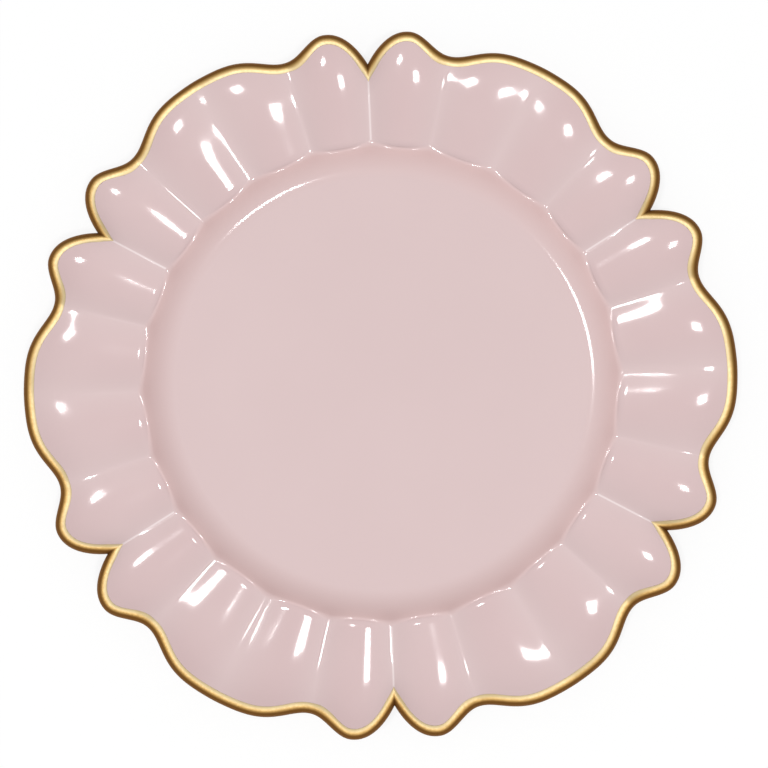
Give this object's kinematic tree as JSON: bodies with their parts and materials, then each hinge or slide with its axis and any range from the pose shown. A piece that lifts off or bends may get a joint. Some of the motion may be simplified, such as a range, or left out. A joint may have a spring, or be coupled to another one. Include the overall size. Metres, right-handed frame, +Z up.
{
  "type": "charger plate",
  "caption": "Round charger plate with a flat sunken well, a fluted scalloped rim with sharp notches, a gilded turned-down edge and a low foot ring.",
  "frame": {"origin": "middle of the plate, on the plane that the foot ring stands on", "axes": "+Z up, out of the well; +Y towards one of the notches of the rim"},
  "size_m": [0.33, 0.3276, 0.0199],
  "materials": {
    "blush_lacquer": "high gloss blush pink",
    "gold_leaf": "satin gilding"
  },
  "bodies": {
    "root": {"plate_body": "blush_lacquer", "gold_rim": "gold_leaf"}
  },
  "joints": []
}
